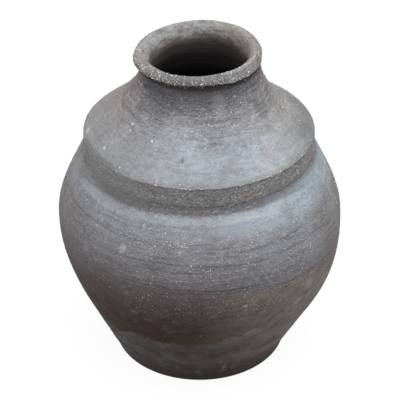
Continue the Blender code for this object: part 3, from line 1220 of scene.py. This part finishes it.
def foot_wiped(at, patches, colour):
    """The dark bottom, with pale streaks and lines where it was wiped."""
    height, blotches = at.height, patches.blotches
    wiped = clouds(stretched(at.place, 150.0, 22.0), 1.0, 2.0, 0.6)
    streaks = step(wiped, 0.44, 0.74) * between(height + (blotches - 0.5) * 0.012, 0.014, 0.021, 0.007)
    brown_line = between(height + (wiped - 0.5) * 0.008, 0.036, 0.042, 0.004) * step(blotches, 0.62, 0.40)
    foot_line = between(height + (wiped - 0.5) * 0.006, 0.029, 0.035, 0.004) * step(blotches, 0.35, 0.6)
    bottom = step(height + (wiped - 0.5) * 0.010, 0.029, 0.015) * 0.92
    colour = mixed(bottom + brown_line * 0.45, colour, SOOT)
    return mixed(streaks * 0.62 + foot_line * 0.36, colour, FOOT_STREAK)


def shade_painted(at, left, colour):
    """Painted shade under the lip, in the groove under the band and under the ridge, and darker creases."""
    height, side = at.height, at.side
    # painted shade under the lip's overhang, in the groove at the band's foot and under the ridge
    under_lip = step(height, 0.2462, 0.2508)
    seam_shade = between(height, *BAND_FOOT_LEVELS, 0.0032) * (1.0 - left * 0.35)
    broken = step(clouds(at.place, 0.016, 2.0) + side * 0.12, 0.50, 0.66)
    ridge_shade = between(height, 0.1914, 0.1921, 0.0005) * broken * step(side, -0.15, 0.20)
    colour = mixed(under_lip * 0.9 + seam_shade * 0.30 + ridge_shade * 0.55, colour, DIRT_AND_SHADE)
    # the creases are painted darker
    return mixed(noted(at.place, "crease") * 0.42, colour, DIRT_AND_SHADE)


print("the band runs from", BAND_FOOT_LEVELS[1] * 1000, "to", BAND_TOP * 1000, "mm")

# %% Wheel lines and strokes
Parts = namedtuple("Parts", "low belly dome neck")


def parts_at(height):
    """Masks for the parts of the vase that were worked in different ways."""
    belly = between(height, 0.092, 0.158, 0.014)
    return Parts(step(height, 0.112, 0.092), belly, step(height, 0.193, 0.197), step(height, 0.204, 0.230))


def lined(at, patches, on, scraped, colour):
    """Wheel lines, aslant strokes, cloudy grain and a haze low down. Gives the colour and the relief."""
    place = at.place
    wavy = wavering(place, 0.018, 0.0016)
    lines = clouds(stretched(wavy, 24.0, 560.0), 1.0, 3.0, 0.62) - 0.5
    dashes = clouds(stretched(wavy, 34.0, 900.0), 1.0, 2.0, 0.55)
    brushed = clouds(stretched(wavy, 120.0, 760.0), 1.0, 3.0, 0.65) - 0.5
    grains = clouds(place, 0.0011, 2.0, 0.65) - 0.5
    clumps = clouds(place, 0.0042, 3.0, 0.6) - 0.5
    spotted = clouds(place, 0.0075, 3.0, 0.6) - 0.5
    rising = clouds(stretched(tilted(place, 32.0), 190.0, 1000.0), 1.0, 1.0)
    falling = clouds(stretched(tilted(place, -26.0), 190.0, 1000.0), 1.0, 1.0)
    coarse = (0.30 + scraped * 1.2 + on.neck * 0.25 + on.belly * 0.30) * step(at.front, 0.10, 0.60)
    strokes = (step(rising, 0.55, 0.72) + step(falling, 0.55, 0.72)) * coarse
    tone = 0.90 + lines * (0.30 + on.belly * 0.45 + on.neck * 1.0) + (patches.blotches - 0.5) * 0.50
    tone = tone + grains * (0.80 + scraped * 1.1 - on.dome * 0.25 + on.neck * 1.2) + clumps * 0.60
    tone = tone + brushed * (on.dome * 0.42 + on.neck * 0.75 + on.low * 0.5) + strokes * 0.34
    colour = tinted(colour, tone + spotted * on.low * 0.9)
    hazy = step(clouds(place, 0.012, 3.0, 0.6) - at.side * 0.10, 0.50, 0.68)
    colour = mixed(hazy * on.low * step(at.height, 0.062, 0.074) * 0.38, colour, HAZE)
    scored = step(dashes, 0.36, 0.30) * on.belly
    colour = mixed(scored * 0.16, colour, DIRT_AND_SHADE)
    relief = lines * 0.4 + grains * 0.9 + strokes * 0.4 + brushed * on.dome * 0.5 - scored * 0.2
    return colour, relief


print("worked in different ways:", ", ".join(Parts._fields))

# %% Sand in the clay
def sanded(at, on, scraped, colour):
    """Sand of two sizes, and pits where grains fell out. Gives the colour and the relief."""
    drifts = step(clouds(at.place, 0.016, 2.0, 0.6), 0.36, 0.62)
    bare = step(at.side, -0.62, -0.22) * step(at.side, 0.86, 0.54)
    crowded = (0.35 + bare * 0.65) * (0.35 + drifts * 0.75)
    sandy = 0.14 + bare * 0.18 + scraped * 0.70 - on.dome * 0.08 + on.neck * 0.35
    sandy = sandy + on.belly * crowded * 0.75
    clean = step(at.height, 0.070, 0.140)
    fine, fine_tint = sand(at.place, 0.00115, 0.00044, 0.55)
    large, large_tint = sand(at.place, 0.0029, 0.00072, 0.42)
    fine_colour = mixed(fine_tint * clean * 0.35, tinted(colour, 1.30 + fine_tint * 0.9), CREAM)
    colour = mixed(fine * sandy, colour, fine_colour)
    large_colour = mixed(large_tint * clean * 0.70, tinted(colour, 1.50 + large_tint * 1.2), CREAM)
    colour = mixed(large * sandy, colour, large_colour)
    pits = sand(at.place, 0.0060, 0.00055, 0.14)[0]
    return mixed(pits * 0.6, colour, DIRT_AND_SHADE), fine * 0.5 + large - pits


print("sand of two sizes, and pits")

# %% [markdown]
# ## One finish for the outside
#
# `outer_clay` puts the layers together: ground and zones, traces of work, and then single marks. A mark is a
# soft spot on the unrolled side of the vase, so it needs only an angle, a height and a size.

# %% The outside finish
CLAY_SHINE = 0.3
BUMP_STRENGTH = 0.8


def new_finish(name):
    """A material with its plain shader."""
    material = bpy.data.materials.new(name)
    material.use_nodes = True
    return material


def fired(material, colour, roughness, relief, depth):
    """Connects a finish to its shader."""
    tree = material.node_tree
    shader = tree.nodes["Principled BSDF"]
    bumps = {"Strength": BUMP_STRENGTH, "Distance": depth, "Height": relief}
    bump = colour.node("ShaderNodeBump", {}, bumps)
    tree.links.new(colour.socket, shader.inputs["Base Color"])
    tree.links.new(roughness.socket, shader.inputs["Roughness"])
    tree.links.new(bump.socket, shader.inputs["Normal"])
    shader.inputs["Specular IOR Level"].default_value = CLAY_SHINE
    return material


def marked(at, colour, marks):
    """Adds single marks, each as (turn, height, radius, colour, share, flatness)."""
    ragged = clouds(at.place, 0.0018) - 0.5
    across = at.side * MEAN_RADIUS
    forward = at.front * MEAN_RADIUS
    for turn, level, radius, mark, share, flatness in marks:
        angle = math.radians(turn)
        middle = (MEAN_RADIUS * math.sin(angle), MEAN_RADIUS * math.cos(angle), level * flatness)
        unrolled = {"X": across, "Y": forward, "Z": at.height * flatness}
        ends = {0: at.place.node("ShaderNodeCombineXYZ", {}, unrolled), 1: middle}
        distance = at.place.node("ShaderNodeVectorMath", {"operation": "DISTANCE"}, ends, "Value")
        colour = mixed(step(distance + ragged * radius, radius, radius * 0.3) * share, colour, mark)
    return colour


def outer_clay(name, marks=()):
    """The outside finish of one section, with its own marks."""
    material = new_finish(name)
    at = where(material.node_tree)
    patches = patched(at)
    colour = ground(at, patches)
    for zone in ZONES:
        colour = zone(at, patches, colour)
    colour, scraped, left = banded(at, colour)
    colour = foot_wiped(at, patches, colour)
    colour = shade_painted(at, left, colour)
    on = parts_at(at.height)
    colour, line_relief = lined(at, patches, on, scraped, colour)
    colour, sand_relief = sanded(at, on, scraped, colour)
    colour = marked(at, colour, marks)
    return fired(material, colour, 0.72 + patches.blotches * 0.2, line_relief + sand_relief, 0.0004)


print("finish for the outside: zones, traces of work, single marks")

# %% [markdown]
# ## Lip and inside
#
# The lip was handled most: it is grey and worn, with sand laid bare. Inside, the mouth is pale and mottled
# as far as a hand reaches, and below that the fire left it black. Lip and inside share one recipe for the
# mouth, so that no line shows where the lip ends. Both read `level` and not the height, because the lip is
# tilted.

# %% The mouth
MOUTH_GREY = (0.505, 0.502, 0.498, 1.0)
MOUTH_BROWN = (0.250, 0.222, 0.208, 1.0)
MOUTH_SPOT = (0.620, 0.615, 0.600, 1.0)
MOUTH_WARM = (0.480, 0.410, 0.350, 1.0)
INNER_SOOT = (0.058, 0.052, 0.049, 1.0)
INNER_GREY = (0.125, 0.112, 0.106, 1.0)


def mouth_colour(place, side):
    """Pale and mottled at the top of the mouth, brown below, then black. Gives the mottles too."""
    level = noted(place, "level")
    mottles = clouds(stretched(place, 110.0, 260.0), 1.0, 3.0, 0.65)
    drifting = level + (clouds(place, 0.014, 3.0) - 0.5) * 0.006 + (mottles - 0.5) * 0.007
    drifting = drifting + step(side, 0.6, 1.0) * 0.003 + step(side, -0.6, -1.0) * 0.001
    spots, spot_tint = sand(place, 0.0056, 0.0013, 0.45)
    pale = mixed(step(mottles, 0.26, 0.60), MOUTH_BROWN, MOUTH_GREY)
    pale = mixed(step(drifting, 0.2475, 0.2560), MOUTH_BROWN, pale)
    pale = mixed(spots * spot_tint * 0.75 * step(drifting, 0.2480, 0.2530), pale, MOUTH_SPOT)
    pale = mixed(step(side, 0.25, 0.75) * 0.55, pale, MOUTH_WARM)
    deep = mixed(step(level, 0.240, 0.222), INNER_SOOT, INNER_GREY)
    deep = tinted(deep, 1.0 + (step(side, 0.5, 0.95) + step(side, -0.5, -0.95)) * 0.55)
    return mixed(step(drifting, 0.2438, 0.2532), deep, pale), mottles


print("the mouth goes from", MOUTH_GREY[:3], "to", INNER_SOOT[:3])

# %% The lip and the inside
LIP_GREY = (0.236, 0.237, 0.244, 1.0)
LIP_WARM = (0.345, 0.306, 0.268, 1.0)
LIP_BROWN = (0.205, 0.140, 0.095, 1.0)


def lip_clay():
    """The lip's outside and the mouth's edge."""
    material = new_finish("lip clay")
    at = where(material.node_tree)
    place, side, front = at.place, at.side, at.front
    level = noted(place, "level")
    outside = noted(place, "outside")
    mouth_clay, mottles = mouth_colour(place, side)
    grains = clouds(place, 0.0010, 2.0, 0.7) - 0.5
    clumps = clouds(place, 0.0040, 2.0, 0.6) - 0.5
    outer = mixed(step(front, 0.80, 0.10) * 0.75, LIP_GREY, LIP_WARM)
    outer = tinted(outer, 1.0 + between(side, 0.50, 0.82, 0.14) * step(front, 0.0, 0.3) * 0.42)
    # painted shade on the underside of the lip
    outer = mixed(step(level, 0.2550, 0.2542) * 0.9, outer, DIRT_AND_SHADE)
    colour = tinted(mixed(outside, mouth_clay, outer), 0.95 + grains * 1.2 + clumps * 0.7)
    # a brown line along the inner crest of the lip
    brown_inner_crest = step(level, 0.2572, 0.2594) * (1.0 - outside) * (0.25 + step(front, 0.0, 0.4) * 0.75)
    colour = mixed(brown_inner_crest * 0.75, colour, LIP_BROWN)
    bare = 0.35 + outside * 0.65
    fine, fine_tint = sand(place, 0.00125, 0.00044, 0.55)
    large, large_tint = sand(place, 0.0030, 0.00080, 0.45)
    pits = sand(place, 0.0034, 0.00055, 0.30)[0]
    colour = mixed(fine * bare * (0.20 + fine_tint * 0.65), colour, mixed(fine_tint, CHALK, CREAM))
    colour = mixed(large * bare * (0.50 + large_tint * 0.50), colour, CREAM)
    colour = mixed(pits * 0.6, colour, DIRT_AND_SHADE)
    return fired(material, colour, 0.78 + mottles * 0.15, grains + fine * 0.5 + large - pits, 0.0005)


def inner_clay():
    """The inside below the lip."""
    material = new_finish("smoked inside")
    at = where(material.node_tree)
    colour, mottles = mouth_colour(at.place, at.side)
    lines = clouds(stretched(at.place, 30.0, 500.0), 1.0, 3.0, 0.6)
    colour = tinted(colour, 0.45 + lines * 1.10)
    return fired(material, colour, 0.80 + mottles * 0.12, lines + mottles * 0.5, 0.0004)


print("finishes for the lip and the inside")

# %% Finish of the grains
GRAIN_GREY = (0.56, 0.52, 0.45, 1.0)
GRAIN_CREAM = (0.92, 0.90, 0.84, 1.0)
GRAIN_SOOT = (0.16, 0.14, 0.13, 1.0)


def grain_finish():
    """Pale quartz and feldspar: cream, with some grey among it, and sooty low down."""
    material = new_finish("sand grain")
    at = where(material.node_tree)
    kinds = clouds(at.place, 0.003, 1.0)
    colour = mixed(step(kinds, 0.35, 0.62), GRAIN_GREY, GRAIN_CREAM)
    colour = mixed(step(at.height, 0.135, 0.085) * 0.75, colour, GRAIN_SOOT)
    return fired(material, colour, 0.30 + kinds * 0.3, kinds, 0.0001)


grain_material = grain_finish()
for grit_piece, slot_name in grit_slots:
    grit_piece.data.materials.append(grain_material)
print("pieces with", grain_material.name, "finish:", len(grit_slots))

# %% [markdown]
# ## Single marks
#
# Last come the marks that the eye picks out one by one: rust spots, chalky scuffs, bright grains with
# painted glints, pits, broad soft smudges of soot and earth, and patches of painted sheen. Three smudges lie
# across the seam of cap and neck, so both sections carry them. Each section then gets its outside finish and
# the finish of its inside.

# %% Marks
# Each mark: angle in degrees, height, radius, colour, share and how much wider it is than high
LOWER_MARKS = (
    (3.6, 0.0437, 0.0024, RUST, 0.85, 1.2),
    (57.0, 0.0930, 0.0150, CHALK, 0.12, 1.2),
    (-51.0, 0.0980, 0.0150, EARTH, 0.34, 1.2),
    (-41.0, 0.1110, 0.0110, EARTH, 0.20, 1.6),
    (-45.0, 0.0800, 0.0120, EARTH, 0.24, 1.2),
    (-27.8, 0.0888, 0.0046, CHALK, 0.16, 1.6),
    (-21.9, 0.0840, 0.0040, CHALK, 0.14, 1.6),
    (-44.0, 0.0370, 0.0090, CHALK, 0.12, 1.0),
    (20.5, 0.0490, 0.0110, SOOT, 0.36, 1.3),
    (27.0, 0.0200, 0.0120, SOOT, 0.40, 2.0),
    (-2.3, 0.0906, 0.0013, DIRT_AND_SHADE, 0.6, 0.7),
    (17.9, 0.1011, 0.0019, CHALK, 0.75, 1.0),
    (17.3, 0.1100, 0.0015, CHALK, 0.45, 1.0),
    (0.4, 0.0714, 0.0011, CHALK, 0.55, 1.0),
    (-29.9, 0.1059, 0.0013, CHALK, 0.40, 1.0),
    (35.7, 0.1079, 0.0034, DIRT_AND_SHADE, 0.60, 3.0),
    (48.9, 0.0986, 0.0052, CHALK, 0.42, 0.6),
    (33.0, 0.0968, 0.0010, CREAM, 0.60, 1.0),
    (14.3, 0.0190, 0.0034, FOOT_STREAK, 0.90, 0.5),
    (-14.0, 0.0180, 0.0030, FOOT_STREAK, 0.40, 0.5),
)
UPPER_MARKS = (
    # the first two marks are patches of painted sheen at the top of the belly
    (17.0, 0.1630, 0.0270, SKY_SHEEN, 0.54, 2.5),
    (38.0, 0.1590, 0.0170, SKY_SHEEN, 0.42, 2.0),
    (67.0, 0.1580, 0.0170, SOOT, 0.15, 1.2),
    (4.0, 0.1360, 0.0240, SOOT, 0.20, 2.8),
    (52.0, 0.1230, 0.0150, CHALK, 0.13, 1.2),
    (-81.0, 0.1670, 0.0150, CREAM, 0.14, 1.2),
    (-41.5, 0.1185, 0.0070, EARTH, 0.26, 1.5),
    (-32.2, 0.1436, 0.0034, CHALK, 0.72, 1.0),
    (-32.9, 0.1400, 0.0022, CHALK, 0.40, 1.0),
    (-24.5, 0.1618, 0.0013, CHALK, 0.75, 0.6),
    (0.2, 0.1568, 0.0015, CHALK, 0.75, 0.9),
    (-47.7, 0.1499, 0.0013, CREAM, 0.80, 1.0),
    (-44.4, 0.1250, 0.0012, CREAM, 0.75, 1.0),
    (-41.0, 0.1443, 0.0026, CHALK, 0.25, 0.8),
    (16.7, 0.1520, 0.0040, CREAM, 0.22, 1.0),
    (27.0, 0.1527, 0.0060, CHALK, 0.22, 1.3),
    (19.9, 0.1230, 0.0009, CREAM, 0.80, 1.0),
    (-50.0, 0.1177, 0.0016, DIRT_AND_SHADE, 0.45, 1.0),
    (-51.0, 0.1300, 0.0040, CHALK, 0.16, 0.4),
    (-46.0, 0.1630, 0.0090, CREAM, 0.20, 2.4),
)
SEAM_MARKS = (
    (58.0, 0.2290, 0.0180, SOOT, 0.28, 1.2),
    (-33.0, 0.2285, 0.0200, SOOT, 0.14, 1.6),
    (-57.0, 0.2280, 0.0140, SOOT, 0.20, 1.2),
)
CAP_MARKS = (
    (15.0, 0.2075, 0.0220, SOOT, 0.12, 1.5),
    (52.0, 0.2150, 0.0180, SOOT, 0.08, 1.2),
    (-104.0, 0.2073, 0.0220, EDGE_BROWN, 0.40, 1.2),
    (34.0, 0.2170, 0.0200, SOOT, 0.15, 1.4),
    *SEAM_MARKS,
    (90.0, 0.2080, 0.0150, CREAM, 0.14, 1.2),
    (23.4, 0.1825, 0.0036, RUST, 0.95, 4.0),
    (-12.4, 0.2187, 0.0018, OLIVE, 0.40, 1.2),
    (-9.7, 0.2067, 0.0016, SOOT, 0.50, 0.6),
    # the bright white marks below are grains with a painted glint
    (-53.9, 0.2166, 0.0018, WHITE_GLINT, 1.00, 1.8),
    (-52.3, 0.2133, 0.0018, WHITE_GLINT, 0.95, 1.8),
    (-32.1, 0.2129, 0.0015, WHITE_GLINT, 1.00, 1.5),
    (-60.3, 0.1992, 0.0024, CREAM, 1.00, 2.0),
    (-83.6, 0.1960, 0.0050, CREAM, 0.50, 2.6),
    (-42.9, 0.1957, 0.0010, WHITE_GLINT, 0.90, 1.5),
    (-3.1, 0.2156, 0.0030, CHALK, 0.50, 1.4),
    (-83.7, 0.2250, 0.0024, CHALK, 0.40, 0.8),
)
NECK_MARKS = (
    *SEAM_MARKS,
    (18.0, 0.2380, 0.0150, CHALK, 0.25, 1.2),
    (61.0, 0.2313, 0.0050, CHALK, 0.24, 0.8),
    (71.0, 0.2318, 0.0044, CHALK, 0.18, 0.8),
    (51.0, 0.2393, 0.0052, CHALK, 0.18, 1.0),
    (57.0, 0.2270, 0.0040, SOOT, 0.16, 0.8),
)
marks_upwards = (LOWER_MARKS, UPPER_MARKS, CAP_MARKS, NECK_MARKS)
print("marks on the sections from below:", [len(marks) for marks in marks_upwards])

# %% Dress
inside = inner_clay()
lip_finish = lip_clay()
dress = (
    (base_disc, outer_clay("foot clay"), inside),
    (lower_body, outer_clay("smoked clay", LOWER_MARKS), inside),
    (upper_body, outer_clay("grey clay", UPPER_MARKS), inside),
    (shoulder_cap, outer_clay("pale bloom clay", CAP_MARKS), inside),
    (neck_collar, outer_clay("dark grey clay", NECK_MARKS), inside),
    (rim_roll, lip_finish, lip_finish),
)
slots = []
for section, outer_finish, inner_finish in dress:
    section.data.materials.append(outer_finish)
    section.data.materials.append(inner_finish)
    slots.append((section, outer_finish.name.replace(" ", "_")))
    print(section.name, "wears", outer_finish.name)

# %% [markdown]
# ## Hand over to the frame
#
# Each section stands for the imported section of the same name and rides on the one body of the vase.

# %% Ride and replace
for section, slot_name in slots:
    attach(section, "root")
    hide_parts(section.name.removesuffix(CLAY))
for grit_piece, slot_name in grit_slots:
    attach(grit_piece, "root")
